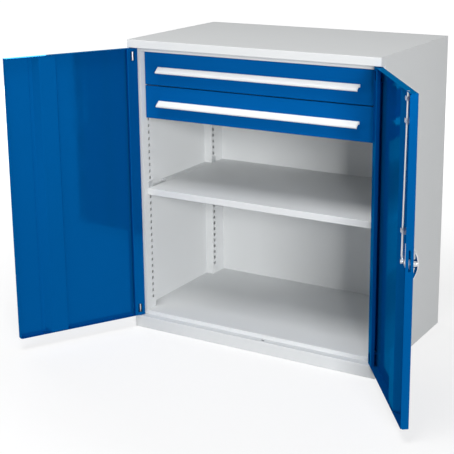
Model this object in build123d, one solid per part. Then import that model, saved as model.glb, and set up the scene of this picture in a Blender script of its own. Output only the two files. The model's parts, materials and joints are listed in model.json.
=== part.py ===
from build123d import *
import os
from math import atan, cos, degrees, hypot, pi, sin, tan

# Steel tool cabinet: a folded-sheet body with two pan doors, two drawers on telescopic slides,
# one hook-in shelf and a turn-handle lock that drives a rod and a tongue.
# Row frame: origin on the floor at the middle of the body's footprint, X to the right,
# Y from front to back, Z up. The doors are drawn swung open and the drawers shut.
# Pieces are drawn in a corner frame first: its origin is the body's front lower left corner.

# ---- Driving dimensions, mm ----
cabinet_width = 1000.0
cabinet_depth = 600.0
cabinet_height = 1110.0
body_sheet = 1.5
bend_radius = 1.0  # inside radius of the folds
cut_margin = 1.0  # how far a cutter runs past the faces it opens
fascia_height = 30.0
plinth_height = 46.0
floor_step = 14.0  # the floor above the plinth's ledge
rail_drop = 16.0  # the top rail's lower edge below the fascia
rail_return = 20.0
base_flange = 25.0

door_sheet = 1.2
door_thickness = 25.0
door_gap = 3.0  # between the two doors
door_end_gap = 2.0  # over and under each door
door_lip = 40.0  # inner lip along the hinge edge
door_lip_return = 13.0
left_door_open = 120.0  # degrees, as drawn
right_door_open = 125.5
corner_notch = 4.0
stiffener_from_edge = 102.0  # from the free edge to the foot of the sloped side
stiffener_slope = 22.0
stiffener_face = 61.0
stiffener_set_back = 3.0  # its face behind the door's inner plane
stiffener_foot = 12.0

pivot_inset = 14.0  # hinge pin's axis from the door's hinge edge
pin_radius = 4.0
pin_head_across = 13.0
pin_head_height = 3.0
pin_length = 60.0
pin_reach = 8.5  # how far a pin stands out of the door
bush_across = 12.0  # square body of the bush
bush_flange_across = 16.0
bush_flange_height = 1.5
bush_depth = 4.0
pin_window_width = 17.0
pin_window_height = 33.0
pin_window_inset = 20.0  # window's middle from the hinge edge
pin_window_from_end = 12.0

swing_clearance = 0.75  # between a swinging door's corner and the jamb's face
jamb_clearance = 2.2  # between a swinging door's corner and the drawers' way out
running_play = 0.05  # radial, between a pin and its bush
body_play = 0.4  # between pieces that slide past each other
fit_play = 0.05  # between a hole and what is fixed in it

upright_depth = 58.0
upright_flange = 15.0
rear_upright_depth = 85.0
slot_pitch = 25.0
slot_width = 11.0
slot_height = 12.0
lowest_slot = 105.0
slot_inset = 40.0  # from the jamb's face to the front row of slots
rear_slot_inset = 13.0  # from the rear upright's front edge to its slots
slot_end_margin = 45.0  # least distance from the highest slot to the top
ledge_gap = 2.0  # between the side ledges and the uprights' inner plane
ledge_sheet = 1.5
ledge_turn_down = 20.0
ledge_from_upright = 95.0  # its front end behind the front upright
ledge_end_gap = 2.0  # and its rear end before the rear one

shelf_sheet = 1.2
shelf_rows = 17  # slot rows from the lowest up to the one that carries the shelf
shelf_rise = 12.0  # shelf's top above that row
shelf_lip = 25.5
shelf_lip_return = 12.0
shelf_setback = 23.0  # behind the jamb's face
shelf_side_gap = 0.8
clip_sheet = 1.5
clip_width = 28.0
clip_tab = 20.0
clip_above = 24.0  # plate above the shelf's top
clip_below = 22.0
hook_width = 7.0
hook_height = 6.0  # it sits on its slot's lower edge
hook_drop = 4.0

drawer_rows = 5  # slot rows that one drawer takes
drawer_gap = 3.5
drawer_setback = 23.0  # behind the jamb's face
drawer_side_gap = 2.0
drawer_sheet = 1.2
drawer_fold = 12.0
tray_height = 100.0
tray_lift = 4.0  # tray's bottom above the front's lower edge
tray_hem = 6.0
slide_height = 45.0
slide_width = 12.7
slide_sheet = 1.2
slide_front_gap = 1.5
slide_past_slots = 10.5  # rear end of the slides behind the rear row of slots
slide_past_tray = 10.0  # and behind the tray
slide_below_row = 10.0

handle_length = 805.0
handle_sheet = 1.5
handle_below_top = 49.5
handle_reach = 25.0
handle_drop = 20.5
handle_foot = 14.0
handle_return = 6.0
label_thickness = 0.6
label_margin = 4.5

lock_from_edge = 50.0  # spindle's axis from the door's free edge
lock_height = 559.0
lock_plate_across = 36.0
lock_plate_corner = 5.0
lock_plate_thickness = 3.0
barrel_radius = 11.0
barrel_depth = 9.0
lock_nut_across = 30.0
lock_nut_height = 5.0
spindle_radius = 6.0
spindle_square = 8.0
spindle_socket = 7.7  # depth of the square in the handle's hub
cam_depth = 10.5  # cam plate's front face behind the door's outer face
cam_thickness = 3.0
cam_hub_radius = 12.0
pin_throw = 22.0
pin_arm_width = 14.0
tongue_reach = 62.0
tongue_width = 14.0
rod_pin_radius = 3.0
rod_radius = 4.0
rod_depth = 18.5  # rod's axis behind the door's outer face
rod_from_edge = 46.5  # rod's line at the top, from the door's free edge
rod_top_gap = 0.5  # rod's tip below the door's top, unlocked
rod_eye_radius = 7.5
rod_eye_thickness = 5.0
rod_slot_play = 0.8
clip_ring_across = 12.0
clip_ring_thickness = 1.0
screw_head_height = 3.0
screw_radius = 2.9
screw_head_across = 10.0
guide_above_lock = 98.0  # lowest rod guide, from the spindle's axis
guide_below_top = 22.0  # highest rod guide, from the door's top
guide_spacing = 65.0  # between the two upper guides
guide_sheet = 1.5
guide_height = 12.0
guide_foot = 10.0
tongue_slot_low = 9.0  # below the spindle's axis
tongue_slot_high = 57.0  # above the spindle's axis
tongue_slot_play = 2.3  # at each face of the tongue

turn_handle_length = 116.0
turn_handle_peak = 24.0  # outer face of the bow off the door
turn_handle_tip = 4.6  # outer face of the tips off the door
turn_handle_sheet = 3.0
turn_handle_middle = 26.0  # width
turn_handle_end = 15.0
turn_hub_radius = 13.0
hub_gap = 0.3
plug_radius = 8.0
plug_depth = 10.0
key_slot_width = 1.4
key_slot_height = 7.0
key_slot_depth = 7.0

# ---- Places that follow from the sizes ----
door_width = (cabinet_width - door_gap) / 2
door_bottom = plinth_height + door_end_gap
door_top = cabinet_height - fascia_height - door_end_gap
pivot_depth = door_thickness / 2
corner_sweep = hypot(pivot_inset, pivot_depth)
jamb_face = pivot_depth + corner_sweep + swing_clearance  # jambs stand back this far
jamb_width = pivot_inset + corner_sweep + jamb_clearance
floor_level = plinth_height + floor_step
roof_level = cabinet_height - body_sheet
ledge_under_fascia = cabinet_height - fascia_height
rail_bottom = ledge_under_fascia - rail_drop
back_plane = cabinet_depth - body_sheet
front_slots_y = jamb_face + slot_inset
rear_upright_y = cabinet_depth - rear_upright_depth
rear_slots_y = rear_upright_y + rear_slot_inset
slot_rows = int((roof_level - slot_end_margin - lowest_slot) / slot_pitch) + 1

shelf_top = lowest_slot + shelf_rows * slot_pitch + shelf_rise
shelf_front = jamb_face + shelf_setback
shelf_left = jamb_width + shelf_side_gap

drawer_height = drawer_rows * slot_pitch - drawer_gap
drawer_front_y = jamb_face + drawer_setback
drawer_left = jamb_width + drawer_side_gap
tray_left = jamb_width + slide_width
slide_start = drawer_front_y + drawer_fold + slide_front_gap
slide_end = rear_slots_y + slide_past_slots

spindle_x = door_width - lock_from_edge
rod_line_x = door_width - rod_from_edge
guide_heights = (
    lock_height + guide_above_lock,
    door_top - guide_below_top - guide_spacing,
    door_top - guide_below_top,
)
clip_depth = rod_depth + rod_eye_thickness / 2 + body_play
tilt_unlocked = atan((rod_line_x - spindle_x + pin_throw) / (door_top - lock_height))
tilt_locked = atan((rod_line_x - spindle_x) / (door_top - lock_height - pin_throw))


# ---- Drawing helpers ----
def folded(path, sheet, rounded=True):
    """Section of sheet folded along an open path, with its metal on the path's left."""
    points = [Vector(*p) for p in path]
    ahead = [(b - a).normalized() for a, b in zip(points, points[1:])]
    left = [Vector(-d.Y, d.X) for d in ahead]
    other = [points[0] + left[0] * sheet]
    radii, other_radii = [0], [0]
    for k in range(1, len(points) - 1):
        mitre = (left[k - 1] + left[k]) * (sheet / (1 + left[k - 1].dot(left[k])))
        other.append(points[k] + mitre)
        turns_left = ahead[k - 1].cross(ahead[k]).Z > 0
        radii.append(bend_radius + sheet if turns_left else bend_radius)
        other_radii.append(bend_radius if turns_left else bend_radius + sheet)
    other.append(points[-1] + left[-1] * sheet)
    corners = points + other[::-1]
    radii += [0] + [0] + other_radii[:0:-1] + [0]
    if not rounded:
        return make_face(Polyline(*corners, close=True))
    return make_face(FilletPolyline(*corners, radius=radii, close=True))


def along_x(section, start, end):
    """Prism of a section drawn as (y, z)."""
    return extrude(Plane.YZ.offset(start) * section, amount=end - start)


def along_y(section, start, end):
    """Prism of a section drawn as (x, z)."""
    return extrude(Plane.XZ.offset(-start) * section, amount=start - end)


def along_z(section, start, end):
    """Prism of a section drawn as (x, y)."""
    return extrude(Plane.XY.offset(start) * section, amount=end - start)


def block(x0, x1, y0, y1, z0, z1):
    middle = Pos((x0 + x1) / 2, (y0 + y1) / 2, (z0 + z1) / 2)
    return middle * Box(abs(x1 - x0), abs(y1 - y0), abs(z1 - z0))


def post(x, y, radius, z0, z1):
    """Upright cylinder."""
    return Pos(x, y, (z0 + z1) / 2) * Cylinder(radius, abs(z1 - z0))


def square_post(x, y, across, z0, z1):
    half = across / 2
    return block(x - half, x + half, y - half, y + half, z0, z1)


def stub(x, z, radius, y0, y1):
    """Cylinder that lies from front to back."""
    return Pos(x, (y0 + y1) / 2, z) * Rot(90, 0, 0) * Cylinder(radius, y1 - y0)


def pan(x0, x1, y0, y1, z0, z1, radius):
    """Block whose front edges are rounded and mitred at its corners, as folded sheet is."""
    across = Pos((x0 + x1) / 2, (y0 + y1) / 2) * Rectangle(x1 - x0, y1 - y0)
    across = fillet(across.vertices().group_by(Axis.Y)[0], radius)
    upright = Pos((y0 + y1) / 2, (z0 + z1) / 2) * Rectangle(y1 - y0, z1 - z0)
    upright = fillet(upright.vertices().group_by(Axis.X)[0], radius)
    return along_z(across, z0, z1) & along_x(upright, x0, x1)


def in_body(shape):
    """From the corner frame to the row frame."""
    return Pos(-cabinet_width / 2, -cabinet_depth / 2, 0) * shape


def in_body_right(shape):
    """A left-hand piece as its right-hand twin."""
    return mirror(in_body(shape), about=Plane.YZ)


def swing_axis(side):
    x = side * (cabinet_width / 2 - pivot_inset)
    return Axis((x, pivot_depth - cabinet_depth / 2, 0), (0, 0, side))


def on_left_door(shape):
    return in_body(shape).rotate(swing_axis(-1), left_door_open)


def on_right_door(shape):
    return in_body_right(shape).rotate(swing_axis(1), right_door_open)


def save(node, *pieces):
    solids = [s for piece in pieces for s in piece.solids()]
    export_step(Compound(solids), f"parts/{node}.step")


def mid_x(x):
    return cabinet_width - x


# ---- Body ----
def side_panel():
    section = folded([(0, cabinet_depth), (0, jamb_face), (jamb_width, jamb_face)], body_sheet)
    return along_z(section, 0, roof_level)


def slot_cutters(y):
    low = lowest_slot - slot_height / 2
    return [
        block(
            jamb_width - 2 * body_sheet,
            jamb_width + body_sheet,
            y - slot_width / 2,
            y + slot_width / 2,
            low + row * slot_pitch,
            low + row * slot_pitch + slot_height,
        )
        for row in range(slot_rows)
    ]


def front_upright():
    start = jamb_face + body_sheet
    path = [
        (jamb_width - upright_flange, start),
        (jamb_width, start),
        (jamb_width, jamb_face + upright_depth),
        (body_sheet, jamb_face + upright_depth),
    ]
    channel = along_z(folded(path, body_sheet, rounded=False), floor_level, roof_level)
    return channel - slot_cutters(front_slots_y)


def rear_upright():
    path = [
        (body_sheet, rear_upright_y),
        (jamb_width, rear_upright_y),
        (jamb_width, back_plane),
        (jamb_width - upright_flange, back_plane),
    ]
    channel = along_z(folded(path, body_sheet, rounded=False), floor_level, roof_level)
    return channel - slot_cutters(rear_slots_y)


def side_ledge():
    """Channel welded across the side panel, level with the shelf; it closes the gap beside it."""
    near, far = body_sheet, jamb_width - ledge_gap
    low = shelf_top - ledge_turn_down
    path = [(far, low), (far, shelf_top), (near, shelf_top), (near, low)]
    start = jamb_face + upright_depth + ledge_from_upright
    end = rear_upright_y - ledge_end_gap
    return along_y(folded(path, ledge_sheet, rounded=False), start, end)


def rear_panel():
    left, right = body_sheet, mid_x(body_sheet)
    fold = back_plane - upright_flange
    path = [(right, fold), (right, cabinet_depth), (left, cabinet_depth), (left, fold)]
    upper = along_z(folded(path, body_sheet, rounded=False), floor_level, roof_level)
    return upper + block(left, right, back_plane, cabinet_depth, 0, floor_level)


def end_cheeks(low, high):
    """Closed ends of the plinth and of the fascia."""
    reach = jamb_face
    cheek = block(0, body_sheet, bend_radius + body_sheet, reach, low, high)
    other = block(mid_x(body_sheet), cabinet_width, bend_radius + body_sheet, reach, low, high)
    return cheek + other


def rod_slot_x():
    """Ends of the slot that the lock rod enters, from the corner frame's origin."""
    low, high = rod_span(door_top)
    return mid_x(high), mid_x(low)


def ledge_holes(low, high):
    """Square bush holes for both doors' pins and the lock rod's slot."""
    across = bush_across + 2 * fit_play
    holes = [square_post(x, pivot_depth, across, low, high) for x in (pivot_inset, mid_x(pivot_inset))]
    near, far = rod_slot_x()
    half = rod_radius + rod_slot_play
    slot = block(near, far, rod_depth - half, rod_depth + half, low, high)
    return [*holes, slot]


def top_panel():
    path = [
        (cabinet_depth, cabinet_height),
        (0, cabinet_height),
        (0, ledge_under_fascia),
        (jamb_face, ledge_under_fascia),
    ]
    panel = along_x(folded(path, body_sheet), 0, cabinet_width)
    panel += end_cheeks(ledge_under_fascia, cabinet_height - body_sheet)
    top = ledge_under_fascia + body_sheet
    return panel - ledge_holes(ledge_under_fascia - cut_margin, top + cut_margin)


def plinth():
    path = [(jamb_face, plinth_height), (0, plinth_height), (0, 0), (jamb_face, 0)]
    front = along_x(folded(path, body_sheet), 0, cabinet_width)
    front += end_cheeks(0, plinth_height)
    return front - ledge_holes(plinth_height - body_sheet - cut_margin, plinth_height + cut_margin)


def top_rail():
    path = [
        (jamb_face, roof_level),
        (jamb_face, rail_bottom),
        (jamb_face + rail_return, rail_bottom),
    ]
    return along_x(folded(path, body_sheet), jamb_width, mid_x(jamb_width))


def base_frame():
    """Ring of channel, open inwards, that carries the floor."""
    x0, x1 = body_sheet, mid_x(body_sheet)
    y0, y1 = jamb_face + body_sheet, back_plane
    top = floor_level - body_sheet
    ring = block(x0, x1, y0, y1, 0, top)
    corners = ring.edges().filter_by(Axis.Z) + ring.faces().sort_by(Axis.Z)[-1].edges()
    ring = chamfer(corners, bend_radius + body_sheet)
    web = body_sheet
    ring -= block(x0 + web, x1 - web, y0 + web, y1 - web, web, top - web)
    flange = base_flange
    opening = (x0 + flange, x1 - flange, y0 + flange, y1 - flange)
    return ring - block(*opening, -cut_margin, top + cut_margin)


def floor_pan():
    under = floor_level - body_sheet
    path = [(back_plane, floor_level), (jamb_face, floor_level), (jamb_face, plinth_height)]
    pan = along_x(folded(path, body_sheet), jamb_width, mid_x(jamb_width))
    start = jamb_face + body_sheet + bend_radius
    for x0, x1 in ((body_sheet, jamb_width), (mid_x(jamb_width), mid_x(body_sheet))):
        pan += block(x0, x1, start, back_plane, under, floor_level)
    return pan


def hinge_bush(x, seat, up):
    """Flanged square bush in a ledge; up is 1 where the door is above the ledge."""
    flange_end = seat + up * bush_flange_height
    tail = seat - up * bush_depth
    bush = square_post(x, pivot_depth, bush_flange_across, seat, flange_end)
    bush += square_post(x, pivot_depth, bush_across, tail, seat)
    margin = up * cut_margin
    return bush - post(x, pivot_depth, pin_radius + running_play, tail - margin, flange_end + margin)


# ---- Shelf ----
def clip_places():
    return [front_slots_y, rear_slots_y]


def shelf():
    low = shelf_top - shelf_lip
    back = back_plane - body_play
    path = [
        (back, low),
        (back, shelf_top),
        (shelf_front, shelf_top),
        (shelf_front, low),
        (shelf_front + shelf_lip_return, low),
    ]
    right = mid_x(shelf_left)
    tray = along_x(folded(path, shelf_sheet), shelf_left, right)
    y0, y1 = shelf_front + shelf_sheet, back - shelf_sheet
    for x in (shelf_left, right - shelf_sheet):
        tray += block(x, x + shelf_sheet, y0, y1, low, shelf_top)
    half = clip_width / 2 + body_play
    plate = jamb_width + clip_sheet + body_play
    flange = shelf_left + shelf_sheet + body_play
    for y in clip_places():
        for depth, top in ((plate, shelf_top + cut_margin), (flange, shelf_top - shelf_sheet)):
            for x0, x1 in ((0, depth), (mid_x(depth), cabinet_width)):
                tray -= block(x0, x1, y - half, y + half, low - cut_margin, top)
    return tray


def hook(y, row):
    """Lug that passes through a slot, sits on its lower edge and drops behind the upright's face."""
    low = lowest_slot + row * slot_pitch - slot_height / 2
    high = low + hook_height
    y0, y1 = y - hook_width / 2, y + hook_width / 2
    web = jamb_width - body_sheet
    neck = block(web - clip_sheet, jamb_width, y0, y1, low, high)
    return neck + block(web - clip_sheet, web, y0, y1, low - hook_drop, high)


def shelf_clip(y):
    half = clip_width / 2
    under = shelf_top - shelf_sheet
    path = [
        (jamb_width, shelf_top + clip_above),
        (jamb_width, shelf_top - clip_below),
        (jamb_width + clip_sheet, shelf_top - clip_below),
        (jamb_width + clip_sheet, under - clip_sheet),
        (jamb_width + clip_tab, under - clip_sheet),
        (jamb_width + clip_tab, under),
        (jamb_width + clip_sheet, under),
        (jamb_width + clip_sheet, shelf_top + clip_above),
    ]
    plate = along_y(make_face(Polyline(*path, close=True)), y - half, y + half)
    return plate + hook(y, shelf_rows) + hook(y, shelf_rows + 1)


# ---- Drawers ----
def drawer_bottom(number):
    """Lower edge of a drawer's front; drawer 0 is the highest."""
    return rail_bottom - drawer_gap - drawer_height - number * drawer_rows * slot_pitch


def slide_row(number):
    """Lowest slot row that the drawer's slides hook into."""
    least = drawer_bottom(number) + tray_lift + slide_below_row
    return int((least - lowest_slot) / slot_pitch) + 1


def drawer_front(bottom):
    left, right = drawer_left, mid_x(drawer_left)
    front, sheet = drawer_front_y, drawer_sheet
    back, top = front + drawer_fold, bottom + drawer_height
    shell = pan(left, right, front, back, bottom, top, bend_radius + sheet)
    inside = (left + sheet, right - sheet, front + sheet, back + cut_margin)
    return shell - pan(*inside, bottom + sheet, top - sheet, bend_radius)


def drawer_tray(bottom):
    sheet = drawer_sheet
    x0, x1 = tray_left, mid_x(tray_left)
    y0, y1 = drawer_front_y + sheet, slide_end - slide_past_tray
    z0 = bottom + tray_lift
    z1 = z0 + tray_height
    shell = block(x0, x1, y0, y1, z0, z1)
    shell = chamfer(shell.faces().sort_by(Axis.Z)[0].edges(), bend_radius + sheet)
    cavity = block(x0 + sheet, x1 - sheet, y0 + sheet, y1 - sheet, z0 + sheet, z1 - sheet)
    cavity = chamfer(cavity.faces().sort_by(Axis.Z)[0].edges(), bend_radius)
    hem = sheet + tray_hem
    mouth = block(x0 + hem, x1 - hem, y0 + hem, y1 - hem, z1 - 2 * sheet, z1 + cut_margin)
    return shell - cavity - mouth


def drawer_handle(top):
    """Awning-like grip: a foot on the front, a sloped face and a rolled-in edge."""
    y = drawer_front_y
    tip = (y - handle_reach, top - handle_drop)
    curl = handle_return * sin(pi / 4)
    path = [(y, top - handle_foot), (y, top), tip, (tip[0] + curl, tip[1] - curl)]
    start = (cabinet_width - handle_length) / 2
    return along_x(folded(path, handle_sheet), start, start + handle_length)


def label_strip(top):
    """Card on the grip's sloped face, set in from its edges."""
    slope = hypot(handle_reach, handle_drop)
    down = Vector(-handle_reach / slope, -handle_drop / slope)
    out = Vector(down.Y, -down.X)
    upper = Vector(drawer_front_y, top) + down * (label_margin + handle_sheet)
    lower = Vector(drawer_front_y, top) + down * (slope - label_margin)
    corners = [upper, lower, lower + out * label_thickness, upper + out * label_thickness]
    start = (cabinet_width - handle_length) / 2 + label_margin
    section = make_face(Polyline(*corners, close=True))
    return along_x(section, start, cabinet_width - start)


def slide_channel(x0, x1, z0, z1, opens_right):
    """One rail of a telescopic slide."""
    web, lips = (x0, x1) if opens_right else (x1, x0)
    path = [(lips, z1), (web, z1), (web, z0), (lips, z0)]
    if not opens_right:
        path = path[::-1]
    return along_y(folded(path, slide_sheet, rounded=False), slide_start, slide_end)


def slide_members(number):
    """Cabinet, middle and drawer rails of the left slide."""
    row = slide_row(number)
    z0 = lowest_slot + row * slot_pitch - slide_below_row
    z1 = z0 + slide_height
    step = slide_sheet + body_play
    x0 = jamb_width
    x1 = jamb_width + slide_width
    cabinet = slide_channel(x0, x1 - 2 * body_play, z0, z1, True)
    for y in (front_slots_y, rear_slots_y):
        lug_y = max(y, slide_start + hook_width / 2)
        cabinet += hook(lug_y, row)
        cabinet += hook(lug_y, row + 1)
    middle = slide_channel(x0 + step, x1 - slide_sheet - body_play, z0 + step, z1 - step, True)
    drawer = slide_channel(x0 + 2 * step, x1, z0 + 2 * step, z1 - 2 * step, False)
    return cabinet, middle, drawer


# ---- Doors, drawn shut ----
def door_leaf():
    width, sheet, inner = door_width, door_sheet, door_thickness
    low, high = door_bottom, door_top
    leaf = pan(0, width, 0, inner, low, high, bend_radius + sheet)
    inside = (sheet, width - sheet, sheet, inner + cut_margin, low + sheet, high - sheet)
    leaf -= pan(*inside, bend_radius)
    path = [(door_lip, inner - door_lip_return), (door_lip, inner), (sheet, inner)]
    leaf += along_z(folded(path, sheet), low + sheet, high - sheet)
    window_start = pin_window_inset - pin_window_width / 2
    window_end = pin_window_inset + pin_window_width / 2
    for z0, z1 in pin_window_spans():
        leaf -= block(window_start, window_end, inner - 2 * sheet, inner + cut_margin, z0, z1)
    leaf -= post(pivot_inset, pivot_depth, pin_radius + fit_play, low - cut_margin, high + cut_margin)
    notch = (width - corner_notch, width + cut_margin, inner - corner_notch, inner + cut_margin)
    leaf -= block(*notch, low - cut_margin, low + corner_notch)
    leaf -= block(*notch, high - corner_notch, high + cut_margin)
    slot_front = cam_depth - tongue_slot_play
    slot_back = cam_depth + cam_thickness + tongue_slot_play
    slot = (slot_front, slot_back, lock_height - tongue_slot_low, lock_height + tongue_slot_high)
    return leaf - block(width - 2 * sheet, width + cut_margin, *slot)


def pin_window_spans():
    start = pin_window_from_end
    end = start + pin_window_height
    return ((door_bottom + start, door_bottom + end), (door_top - end, door_top - start))


def door_stiffener():
    """Hat section welded to the face sheet; one side slopes, the other stands square."""
    seat = door_sheet
    face = door_thickness - stiffener_set_back
    edge = door_width - stiffener_from_edge
    shoulder = edge - stiffener_slope
    far = shoulder - stiffener_face
    path = [
        (far - stiffener_foot, seat),
        (far, seat),
        (far, face - door_sheet),
        (shoulder, face - door_sheet),
        (edge, seat),
        (edge + stiffener_foot, seat),
    ]
    end = door_sheet + bend_radius
    return along_z(folded(path, door_sheet), door_bottom + end, door_top - end)


def hinge_pin(tip, inward):
    """Spring pin with a square head; inward is 1 where the pin reaches up into the door."""
    tail = tip + inward * pin_length
    under_head = tail - inward * pin_head_height
    pin = post(pivot_inset, pivot_depth, pin_radius, tip, under_head)
    return pin + square_post(pivot_inset, pivot_depth, pin_head_across, under_head, tail)


def pin_bracket(tip, inward):
    """Plate across the hinge channel, with an open notch, that a pin's head bears on."""
    seat = tip + inward * (pin_length - pin_head_height)
    low, high = sorted((seat, seat - inward * door_sheet))
    y1 = door_thickness - door_sheet
    plate = block(door_sheet, door_lip - door_sheet, door_sheet, y1, low, high)
    plate = chamfer(plate.edges().filter_by(Axis.Z), bend_radius + fit_play)
    notch = pin_radius + fit_play
    low, high = low - cut_margin, high + cut_margin
    plate -= post(pivot_inset, pivot_depth, notch, low, high)
    open_to = y1 + cut_margin
    return plate - block(pivot_inset - notch, pivot_inset + notch, pivot_depth, open_to, low, high)


def pin_tips():
    return ((door_bottom - pin_reach, 1), (door_top + pin_reach, -1))


# ---- Lock, drawn on the shut left-hand pattern door and mirrored onto the right one ----
def rod_x(height, turned):
    """Rod's place at a height; turned is 0 unlocked and 1 locked."""
    angle = turned * pi / 2
    pin_x = spindle_x - pin_throw * cos(angle)
    pin_z = lock_height + pin_throw * sin(angle)
    tilt = tilt_unlocked + (tilt_locked - tilt_unlocked) * turned
    return pin_x + (height - pin_z) * tan(tilt)


def rod_span(height):
    """The space along X that the rod sweeps at a height as the handle turns."""
    steps = 24
    places = [rod_x(height, k / steps) for k in range(steps + 1)]
    half = rod_radius + rod_slot_play
    return min(places) - half, max(places) + half


def right_door_leaf():
    leaf = door_leaf()
    leaf -= stub(spindle_x, lock_height, barrel_radius + fit_play, -cut_margin, door_sheet + cut_margin)
    half = rod_radius + rod_slot_play
    slot = (*rod_span(door_top), rod_depth - half, rod_depth + half)
    return leaf - block(*slot, door_top - 2 * door_sheet, door_top + cut_margin)


def lock_barrel():
    """Threaded barrel with a square plate that seats on the door's face."""
    half = lock_plate_across / 2
    plate = block(
        spindle_x - half,
        spindle_x + half,
        -lock_plate_thickness,
        0,
        lock_height - half,
        lock_height + half,
    )
    plate = chamfer(plate.edges().filter_by(Axis.Y), lock_plate_corner)
    barrel = plate + stub(spindle_x, lock_height, barrel_radius, 0, barrel_depth)
    bore = spindle_radius + running_play
    front, back = -lock_plate_thickness - cut_margin, barrel_depth + cut_margin
    return barrel - stub(spindle_x, lock_height, bore, front, back)


def lock_nut():
    hexagon = RegularPolygon(lock_nut_across / 2, 6, major_radius=False)
    nut = along_y(Pos(spindle_x, lock_height) * hexagon, door_sheet, door_sheet + lock_nut_height)
    return nut - stub(spindle_x, lock_height, barrel_radius + fit_play, 0, barrel_depth)


def lock_square(y0, y1):
    half = spindle_square / 2
    return block(spindle_x - half, spindle_x + half, y0, y1, lock_height - half, lock_height + half)


def lock_spindle():
    front = -lock_plate_thickness - hub_gap
    spindle = stub(spindle_x, lock_height, spindle_radius, front, cam_depth)
    spindle += lock_square(front - spindle_socket, front)
    spindle += lock_square(cam_depth, cam_depth + cam_thickness)
    bore = (screw_radius + fit_play, cam_depth - spindle_socket, cam_depth + cam_thickness + cut_margin)
    return spindle - stub(spindle_x, lock_height, *bore)


def cam_arm(reach, width):
    """Outline of an arm from the spindle's axis along +X, with cropped corners."""
    return Pos(reach / 2, 0) * chamfer(Rectangle(reach, width).vertices(), width / 4)


def lock_cam():
    """Plate with a short arm that carries the rod's pin and a long arm that is the tongue."""
    pin_arm = Rot(0, 0, 180) * cam_arm(pin_throw + pin_arm_width / 2, pin_arm_width)
    tongue = Rot(0, 0, 90) * cam_arm(tongue_reach, tongue_width)
    section = Circle(cam_hub_radius) + pin_arm + tongue
    back = cam_depth + cam_thickness
    cam = along_y(Pos(spindle_x, lock_height) * section, cam_depth, back)
    cam -= lock_square(cam_depth - cut_margin, back + cut_margin)
    end = clip_depth + 2 * clip_ring_thickness
    return cam + stub(spindle_x - pin_throw, lock_height, rod_pin_radius, back, end)


def cam_screw():
    """Hexagon-head screw that holds the cam on the spindle's square."""
    back = cam_depth + cam_thickness
    hexagon = RegularPolygon(screw_head_across / 2, 6, major_radius=False)
    head = along_y(Pos(spindle_x, lock_height) * hexagon, back, back + screw_head_height)
    tip = cam_depth - spindle_socket + cut_margin
    return head + stub(spindle_x, lock_height, screw_radius, tip, back)


def rod_clip():
    """Square push-on clip at the end of the rod's pin."""
    x, half = spindle_x - pin_throw, clip_ring_across / 2
    end = clip_depth + clip_ring_thickness
    plate = block(x - half, x + half, clip_depth, end, lock_height - half, lock_height + half)
    hole = rod_pin_radius + fit_play
    return plate - stub(x, lock_height, hole, clip_depth - cut_margin, end + cut_margin)


def lock_rod():
    """Round rod with a flattened eye; drawn upright on its pin, then tilted."""
    x = spindle_x - pin_throw
    length = (door_top - rod_top_gap - lock_height) / cos(tilt_unlocked)
    flat = rod_eye_thickness / 2
    neck = rod_eye_radius + 2 * rod_radius
    rod = post(x, rod_depth, rod_radius, lock_height + neck, lock_height + length)
    rod += stub(x, lock_height, rod_eye_radius, rod_depth - flat, rod_depth + flat)
    top = lock_height + neck + rod_radius
    rod += block(x - rod_radius, x + rod_radius, rod_depth - flat, rod_depth + flat, lock_height, top)
    bore = rod_pin_radius + running_play
    rod -= stub(x, lock_height, bore, rod_depth - flat - cut_margin, rod_depth + flat + cut_margin)
    return rod.rotate(Axis((x, 0, lock_height), (0, 1, 0)), degrees(tilt_unlocked))


def rod_guide(height):
    """Bridge over the rod, with a window as wide as the rod's sweep."""
    low, high = height - guide_height / 2, height + guide_height / 2
    spans = [rod_span(z) for z in (low, high)]
    x0 = min(s[0] for s in spans)
    x1 = max(s[1] for s in spans)
    top = rod_depth + rod_radius + rod_slot_play
    seat = door_sheet
    path = [
        (x1 + guide_sheet + guide_foot, seat + guide_sheet),
        (x1 + guide_sheet, seat + guide_sheet),
        (x1 + guide_sheet, top + guide_sheet),
        (x0 - guide_sheet, top + guide_sheet),
        (x0 - guide_sheet, seat + guide_sheet),
        (x0 - guide_sheet - guide_foot, seat + guide_sheet),
    ]
    return along_z(folded(path, guide_sheet, rounded=False), low, high)


def turn_handle():
    """Bow handle: an arched strip, tapered towards its cropped ends, on a round hub."""
    half = turn_handle_length / 2
    rise = turn_handle_peak - turn_handle_tip
    radius = (half**2 + rise**2) / (2 * rise)
    centre = (radius - turn_handle_peak, lock_height)
    ring = Circle(radius) - Circle(radius - turn_handle_sheet)
    strip = along_x(Pos(*centre) * ring, spindle_x - turn_hub_radius, spindle_x + turn_hub_radius)
    end, middle = turn_handle_end / 2, turn_handle_middle / 2
    corner = half - end / 2
    edge = [(middle, turn_hub_radius), (end, corner), (end / 2, half)]
    wing = edge + [(-x, z) for x, z in edge[::-1]]
    outline = make_face(Polyline(*wing, *[(-x, -z) for x, z in wing], close=True))
    strip &= along_y(Pos(spindle_x, lock_height) * outline, -turn_handle_peak - cut_margin, 0)
    front = -lock_plate_thickness - hub_gap
    face = -turn_handle_peak - label_thickness
    handle = strip + stub(spindle_x, lock_height, turn_hub_radius, face, front)
    handle -= lock_square(front - spindle_socket, 0)
    pocket = (plug_radius + running_play, face - cut_margin, face + plug_depth)
    return handle - stub(spindle_x, lock_height, *pocket)


def key_plug():
    face = -turn_handle_peak - label_thickness
    plug = stub(spindle_x, lock_height, plug_radius, face, face + plug_depth - body_play)
    w, h = key_slot_width / 2, key_slot_height / 2
    slot = (spindle_x - w, spindle_x + w, face - cut_margin, face + key_slot_depth)
    return plug - block(*slot, lock_height - h, lock_height + h)


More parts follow.
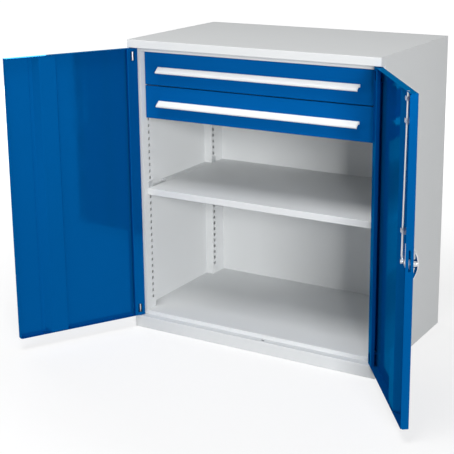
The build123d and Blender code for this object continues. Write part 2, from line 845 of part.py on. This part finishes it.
# ---- Write every node ----
def write_body():
    save("side_panel_left", in_body(side_panel()))
    save("side_panel_right", in_body_right(side_panel()))
    save("front_upright_left", in_body(front_upright()))
    save("front_upright_right", in_body_right(front_upright()))
    save("rear_upright_left", in_body(rear_upright()))
    save("rear_upright_right", in_body_right(rear_upright()))
    save("side_ledges", in_body(side_ledge()), in_body_right(side_ledge()))
    save("rear_panel", in_body(rear_panel()))
    save("top_panel", in_body(top_panel()))
    save("top_rail", in_body(top_rail()))
    save("plinth", in_body(plinth()))
    save("base_frame", in_body(base_frame()))
    save("floor_pan", in_body(floor_pan()))
    bushes = [hinge_bush(pivot_inset, plinth_height, 1), hinge_bush(pivot_inset, ledge_under_fascia, -1)]
    save("hinge_bushes", *map(in_body, bushes), *map(in_body_right, bushes))
    save("shelf", in_body(shelf()))
    clips = [shelf_clip(y) for y in clip_places()]
    save("shelf_clips", *map(in_body, clips), *map(in_body_right, clips))


def write_drawers():
    for number, name in enumerate(("upper", "lower")):
        bottom = drawer_bottom(number)
        grip = bottom + drawer_height - handle_below_top
        save(f"{name}_drawer_front", in_body(drawer_front(bottom)))
        save(f"{name}_drawer_tray", in_body(drawer_tray(bottom)))
        save(f"{name}_drawer_handle", in_body(drawer_handle(grip)))
        save(f"{name}_drawer_label", in_body(label_strip(grip)))
        rails = slide_members(number)
        for rail, kind in zip(rails, ("cabinet_rails", "middle_rails", "drawer_rails")):
            save(f"{name}_slide_{kind}", in_body(rail), in_body_right(rail))


def write_doors():
    save("left_door_leaf", on_left_door(door_leaf()))
    save("right_door_leaf", on_right_door(right_door_leaf()))
    pins = [hinge_pin(*tip) for tip in pin_tips()]
    brackets = [pin_bracket(*tip) for tip in pin_tips()]
    for name, hang in (("left", on_left_door), ("right", on_right_door)):
        save(f"{name}_door_stiffener", hang(door_stiffener()))
        save(f"{name}_hinge_pins", *map(hang, pins))
        save(f"{name}_pin_brackets", *map(hang, brackets))


def write_lock():
    save("lock_barrel", on_right_door(lock_barrel()))
    save("lock_nut", on_right_door(lock_nut()))
    save("rod_guides", *[on_right_door(rod_guide(height)) for height in guide_heights])
    save("turn_handle", on_right_door(turn_handle()))
    save("lock_spindle", on_right_door(lock_spindle()))
    save("lock_cam", on_right_door(lock_cam()))
    save("cam_screw", on_right_door(cam_screw()))
    save("rod_clip", on_right_door(rod_clip()))
    save("lock_rod", on_right_door(lock_rod()))
    save("key_plug", on_right_door(key_plug()))


os.makedirs("parts", exist_ok=True)
write_body()
write_drawers()
write_doors()
write_lock()
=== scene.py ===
import json
from math import cos, radians, sin

import bmesh
import bpy
from mathutils import Matrix, Vector


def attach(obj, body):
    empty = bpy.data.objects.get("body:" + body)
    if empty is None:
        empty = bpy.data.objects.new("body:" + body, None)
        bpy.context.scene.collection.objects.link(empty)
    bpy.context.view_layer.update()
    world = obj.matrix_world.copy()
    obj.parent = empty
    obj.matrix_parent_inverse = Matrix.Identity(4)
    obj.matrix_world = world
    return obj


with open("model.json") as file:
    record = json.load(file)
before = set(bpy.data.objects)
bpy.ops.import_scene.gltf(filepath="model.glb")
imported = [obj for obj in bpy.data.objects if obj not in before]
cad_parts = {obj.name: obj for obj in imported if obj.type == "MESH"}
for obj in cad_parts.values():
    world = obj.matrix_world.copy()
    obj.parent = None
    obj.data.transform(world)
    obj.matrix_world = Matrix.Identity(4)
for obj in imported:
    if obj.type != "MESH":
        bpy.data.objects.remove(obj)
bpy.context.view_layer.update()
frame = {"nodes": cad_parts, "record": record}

NODES = frame["nodes"]

# ---- Camera ----
CAMERA_AT = (1.948, -3.652, 1.656)
CAMERA_TURN = radians(-31.19)  # from +Y towards +X
CAMERA_TILT = radians(14.24)  # downwards
CAMERA_ROLL = radians(-0.66)
CAMERA_LENS = 90.5  # mm
SENSOR_WIDTH = 36  # mm
CAMERA_SHIFT = -0.12  # as a share of the sensor's width


def make_camera():
    """A camera at the photo's angle, tilted down a little."""
    ahead = Vector((
        sin(CAMERA_TURN) * cos(CAMERA_TILT),
        cos(CAMERA_TURN) * cos(CAMERA_TILT),
        -sin(CAMERA_TILT),
    ))
    right = Vector((cos(CAMERA_TURN), -sin(CAMERA_TURN), 0))
    up = right.cross(ahead)
    rolled_right = right * cos(CAMERA_ROLL) + up * sin(CAMERA_ROLL)
    rolled_up = up * cos(CAMERA_ROLL) - right * sin(CAMERA_ROLL)
    turn = Matrix((rolled_right, rolled_up, -ahead)).transposed()
    data = bpy.data.cameras.new("camera")
    data.lens = CAMERA_LENS
    data.sensor_width = SENSOR_WIDTH
    data.shift_y = CAMERA_SHIFT
    camera = bpy.data.objects.new("camera", data)
    camera.matrix_world = Matrix.Translation(CAMERA_AT) @ turn.to_4x4()
    bpy.context.scene.collection.objects.link(camera)
    bpy.context.scene.camera = camera


# ---- Shader helpers ----
NOISE_LOW = 0.3  # most of a noise texture's values lie from here
NOISE_HIGH = 0.7  # to here
COLOUR_A = 6  # a Mix node's colour sockets, which share their names with others
COLOUR_B = 7
COLOUR_RESULT = 2


def add(tree, kind, **settings):
    """A node, with settings for its properties or, by socket name, its inputs."""
    node = tree.nodes.new(kind)
    for key, value in settings.items():
        if hasattr(node, key):
            setattr(node, key, value)
        else:
            node.inputs[key.replace("_", " ")].default_value = value
    return node


def start(name):
    """A new material's tree and its Principled shader."""
    material = bpy.data.materials.new(name)
    material.use_nodes = True
    tree = material.node_tree
    return material, tree, tree.nodes["Principled BSDF"]


def noise(tree, size, detail, stretch=(1, 1, 1)):
    """Noise from 0 to 1, with features of about the given size in metres."""
    place = add(tree, "ShaderNodeTexCoord").outputs["Object"]
    mapping = add(tree, "ShaderNodeMapping", Scale=stretch)
    tree.links.new(place, mapping.inputs["Vector"])
    texture = add(tree, "ShaderNodeTexNoise", Scale=1 / size, Detail=detail)
    tree.links.new(mapping.outputs["Vector"], texture.inputs["Vector"])
    return texture.outputs["Fac"]


def spread(tree, value, low, high, start_at=NOISE_LOW, end_at=NOISE_HIGH):
    """Low where the value is start_at or less, high where it is end_at or more."""
    node = add(
        tree, "ShaderNodeMapRange", From_Min=start_at, From_Max=end_at, To_Min=low, To_Max=high
    )
    tree.links.new(value, node.inputs["Value"])
    return node.outputs["Result"]


def colour_between(tree, shader, factor, first, second):
    """The shader's colour, blended from the first to the second by the factor."""
    node = add(tree, "ShaderNodeMix", data_type="RGBA")
    tree.links.new(factor, node.inputs["Factor"])
    node.inputs[COLOUR_A].default_value = (*first, 1)
    node.inputs[COLOUR_B].default_value = (*second, 1)
    tree.links.new(node.outputs[COLOUR_RESULT], shader.inputs["Base Color"])


def roughen(tree, shader, patches, low, high):
    """Roughness that drifts from low to high with a noise."""
    tree.links.new(spread(tree, patches, low, high), shader.inputs["Roughness"])


def scaled(colour, share):
    """A colour made darker or lighter by one factor."""
    return tuple(c * share for c in colour)


def bump(tree, shader, layers):
    """Bump from (noise value, depth in metres) layers, one on top of the other."""
    normal = None
    for height, depth in layers:
        node = add(tree, "ShaderNodeBump", Strength=1.0, Distance=depth)
        tree.links.new(height, node.inputs["Height"])
        if normal:
            tree.links.new(normal, node.inputs["Normal"])
        normal = node.outputs["Normal"]
    tree.links.new(normal, shader.inputs["Normal"])


# ---- Materials ----
# Sizes of features in the finishes, in metres
PAINT_CLOUD = 0.35
PAINT_PATCH = 0.06
ORANGE_PEEL = 0.0022
ROLLED_WAVE = 0.22
METAL_GRAIN = 0.004
METAL_PATCH = 0.03
PLASTIC_SPECK = 0.0012
PLASTIC_PATCH = 0.02
# Depths of their bumps, in metres
WAVE_DEPTH = 0.0003
PEEL_DEPTH = 0.00002
GRAIN_DEPTH = 0.00002
SPECK_DEPTH = 0.00003
# How far the roughness drifts to either side
PAINT_DRIFT = 0.04
METAL_SMOOTHER = 0.06
METAL_ROUGHER = 0.08
PLASTIC_DRIFT = 0.05
GRAIN_SHADE = 0.86  # how bright the dark side of a metal's grain is


def powder_coat(
    name,
    colour,
    shade,
    roughness,
    specular,
    tint=(1, 1, 1),
    metallic=0.0,
    waves=WAVE_DEPTH,
    peel=PEEL_DEPTH,
):
    """Sprayed and baked paint: orange peel, slight clouding and a rolled sheet's waves."""
    material, tree, shader = start(name)
    clouds = noise(tree, PAINT_CLOUD, detail=3)
    colour_between(tree, shader, clouds, scaled(colour, shade), colour)
    patches = noise(tree, PAINT_PATCH, detail=4)
    roughen(tree, shader, patches, roughness - PAINT_DRIFT, roughness + PAINT_DRIFT)
    shader.inputs["Metallic"].default_value = metallic
    shader.inputs["Specular IOR Level"].default_value = specular
    shader.inputs["Specular Tint"].default_value = (*tint, 1)
    fine = noise(tree, ORANGE_PEEL, detail=1)
    rolled = noise(tree, ROLLED_WAVE, detail=1)
    bump(tree, shader, [(rolled, waves), (fine, peel)])
    return material


def metal(name, colour, roughness, streaks):
    """Plated steel with a drawn or rolled grain; streaks says how the grain is stretched."""
    material, tree, shader = start(name)
    grain = noise(tree, METAL_GRAIN, detail=3, stretch=streaks)
    colour_between(tree, shader, grain, scaled(colour, GRAIN_SHADE), colour)
    patches = noise(tree, METAL_PATCH, detail=4)
    roughen(tree, shader, patches, roughness - METAL_SMOOTHER, roughness + METAL_ROUGHER)
    shader.inputs["Metallic"].default_value = 1.0
    bump(tree, shader, [(grain, GRAIN_DEPTH)])
    return material


def plastic(name, colour, roughness, specular=0.5, speckle=1.25):
    """Plain plastic or card; speckle is how bright its fine grain is beside its colour."""
    material, tree, shader = start(name)
    shader.inputs["Specular IOR Level"].default_value = specular
    fine = noise(tree, PLASTIC_SPECK, detail=2)
    colour_between(tree, shader, fine, colour, scaled(colour, speckle))
    patches = noise(tree, PLASTIC_PATCH, detail=3)
    roughen(tree, shader, patches, roughness - PLASTIC_DRIFT, roughness + PLASTIC_DRIFT)
    bump(tree, shader, [(fine, SPECK_DEPTH)])
    return material


BLUE_TINT = (0.1, 0.65, 1.0)
PAINTS = {
    "body_paint": dict(colour=(0.715, 0.73, 0.735), shade=0.97, roughness=0.75, specular=0.04),
    "door_paint": dict(
        colour=(0.0005, 0.1, 0.335),
        shade=0.95,
        roughness=0.07,
        specular=0.0,
        tint=BLUE_TINT,
        metallic=0.4,
        waves=0.0,
        peel=0.000006,
    ),
    "drawer_paint": dict(
        colour=(0.0005, 0.097, 0.34), shade=0.96, roughness=0.4, specular=0.03, tint=BLUE_TINT
    ),
    "white_paint": dict(colour=(0.80, 0.81, 0.80), shade=0.98, roughness=0.5, specular=0.12),
}
PLASTICS = {
    "label_card": dict(colour=(0.90, 0.90, 0.89), roughness=0.55, specular=0.15, speckle=0.97),
    "plastic": dict(colour=(0.02, 0.02, 0.022), roughness=0.4),
}
METALS = {
    "zinc": dict(colour=(0.88, 0.89, 0.90), roughness=0.42, streaks=(1, 1, 0.1)),
    "chrome": dict(colour=(0.86, 0.87, 0.88), roughness=0.1, streaks=(1, 1, 1)),
}
MATERIALS = {}
for finish, looks in ((powder_coat, PAINTS), (plastic, PLASTICS), (metal, METALS)):
    for name, look in looks.items():
        MATERIALS[name] = finish(name, **look)


def dress_nodes():
    """Each node gets the material of its slot."""
    for part in frame["record"]["subparts"]:
        node = NODES[part["node"]]
        node.data.materials.clear()
        node.data.materials.append(MATERIALS[part["material_slot"]])
        for face in node.data.polygons:
            face.use_smooth = True


# ---- Rivets of the rod guides ----
RIGHT_DOOR_OPEN = radians(125.5)  # as the frame is drawn
GUIDE_SHEET = 0.0015
GUIDE_FOOT = 0.010
RIVET_RADIUS = 0.0026
RIVET_TAPER = 0.6  # the top's radius beside the foot's
RIVET_HEIGHT = 0.0012
RIVET_SEGMENTS = 16
LEVEL_DIGITS = 5  # decimals that points at one level share
LEVEL_SLACK = 1e-4


def make_rivet(place, outwards):
    """A cropped cone that stands on its piece and points outwards."""
    shape = bmesh.new()
    bmesh.ops.create_cone(
        shape,
        cap_ends=True,
        segments=RIVET_SEGMENTS,
        radius1=RIVET_RADIUS,
        radius2=RIVET_RADIUS * RIVET_TAPER,
        depth=RIVET_HEIGHT,
    )
    data = bpy.data.meshes.new("rivet")
    shape.to_mesh(data)
    shape.free()
    data.materials.append(MATERIALS["zinc"])
    rivet = bpy.data.objects.new("guide_rivet", data)
    rivet.location = place + outwards * RIVET_HEIGHT / 2
    rivet.rotation_euler = outwards.to_track_quat("Z", "Y").to_euler()
    bpy.context.scene.collection.objects.link(rivet)
    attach(rivet, "right_door")


def rivet_guides():
    """A rivet in each foot of every rod guide on the right door."""
    along = Vector((-cos(RIGHT_DOOR_OPEN), -sin(RIGHT_DOOR_OPEN), 0))  # hinge edge to free edge
    inwards = Vector((along.y, -along.x, 0))
    guides = NODES["rod_guides"]
    points = [guides.matrix_world @ v.co for v in guides.data.vertices]
    levels = sorted({round(p.z, LEVEL_DIGITS) for p in points})
    for low, high in zip(levels[::2], levels[1::2]):  # a guide's lower and upper edge
        own = [p for p in points if low - LEVEL_SLACK < p.z < high + LEVEL_SLACK]
        spans = [p.dot(along) for p in own]
        seat = min(p.dot(inwards) for p in own) + GUIDE_SHEET
        for reach in (min(spans) + GUIDE_FOOT / 2, max(spans) - GUIDE_FOOT / 2):
            middle = along * reach + inwards * seat + Vector((0, 0, (low + high) / 2))
            make_rivet(middle, inwards)


# ---- Floor, world and lamps ----
FLOOR_SIZE = 60.0
GLOW_NEAR = 0.7  # low enough beside the cabinet to keep its shadow
GLOW_FAR = 1.0
NEAR_WITHIN = 1.1  # metres from the origin
FAR_BEYOND = 3.5
FLOOR_PAINT = 0.3  # how much light the floor returns to the camera
FLOOR_BOUNCE = 0.45  # and how much to the cabinet
SKY_LIGHT = 0.15
MIRRORED_WHITE = 0.55  # how much of the white background a mirrored ray sees
LAMPS_AIM = Vector((0, 0, 0.5))
LAMPS = {  # place, side in metres, watts
    "key": ((5.6, -6.7, 2.4), 2.2, 590),
    "fill": ((-4.5, -4.5, 1.8), 2.0, 55),
    "over": ((0, -2.1, 5.0), 2.0, 110),
    "back": ((0.6, 5.5, 1.0), 2.0, 85),
    "left": ((-5.0, 2.4, 1.4), 3.0, 175),
}


def white_share(tree):
    """How much of the white background a ray sees: a camera ray all, a mirrored one a part."""
    path = add(tree, "ShaderNodeLightPath")
    share = add(tree, "ShaderNodeMath", operation="MULTIPLY_ADD")
    tree.links.new(path.outputs["Is Glossy Ray"], share.inputs[0])
    share.inputs[1].default_value = MIRRORED_WHITE
    tree.links.new(path.outputs["Is Camera Ray"], share.inputs[2])
    return share.outputs[0]


def grey(level):
    """An opaque grey, from black at 0 to white at 1."""
    return (level, level, level, 1)


def make_floor():
    """White to the camera, with a shadow on it, and a plain grey to the cabinet."""
    data = bpy.data.meshes.new("floor")
    half = FLOOR_SIZE / 2
    corners = [(-half, -half, 0), (half, -half, 0), (half, half, 0), (-half, half, 0)]
    data.from_pydata(corners, [], [(0, 1, 2, 3)])
    floor = bpy.data.objects.new("floor", data)
    bpy.context.scene.collection.objects.link(floor)
    material, tree, shader = start("floor")
    tree.nodes.remove(shader)
    paint = add(tree, "ShaderNodeBsdfDiffuse", Color=grey(FLOOR_PAINT))
    glow = add(tree, "ShaderNodeEmission")
    place = add(tree, "ShaderNodeTexCoord").outputs["Object"]
    distance = add(tree, "ShaderNodeVectorMath", operation="LENGTH")
    tree.links.new(place, distance.inputs[0])
    strength = spread(
        tree, distance.outputs["Value"], GLOW_NEAR, GLOW_FAR, NEAR_WITHIN, FAR_BEYOND
    )
    tree.links.new(strength, glow.inputs["Strength"])
    lit = add(tree, "ShaderNodeAddShader")
    tree.links.new(paint.outputs[0], lit.inputs[0])
    tree.links.new(glow.outputs[0], lit.inputs[1])
    plain = add(tree, "ShaderNodeBsdfDiffuse", Color=grey(FLOOR_BOUNCE))
    choice = add(tree, "ShaderNodeMixShader")
    tree.links.new(white_share(tree), choice.inputs[0])
    tree.links.new(plain.outputs[0], choice.inputs[1])
    tree.links.new(lit.outputs[0], choice.inputs[2])
    tree.links.new(choice.outputs[0], tree.nodes["Material Output"].inputs["Surface"])
    data.materials.append(material)


def make_world():
    """A white background that lights the cabinet only a little."""
    world = bpy.data.worlds.new("studio")
    bpy.context.scene.world = world
    world.use_nodes = True
    tree = world.node_tree
    background = tree.nodes["Background"]
    background.inputs["Color"].default_value = grey(1.0)
    strength = spread(tree, white_share(tree), SKY_LIGHT, 1.0, start_at=0.0, end_at=1.0)
    tree.links.new(strength, background.inputs["Strength"])


def make_lamp(name, place, side, power):
    """A square lamp that faces the cabinet."""
    data = bpy.data.lights.new(name, "AREA")
    data.size = side
    data.energy = power
    lamp = bpy.data.objects.new(name, data)
    lamp.location = place
    lamp.rotation_euler = (LAMPS_AIM - Vector(place)).to_track_quat("-Z", "Y").to_euler()
    bpy.context.scene.collection.objects.link(lamp)


make_camera()
dress_nodes()
rivet_guides()
make_floor()
make_world()
for name, (place, side, power) in LAMPS.items():
    make_lamp(name, place, side, power)

bpy.context.scene.view_settings.view_transform = "Standard"
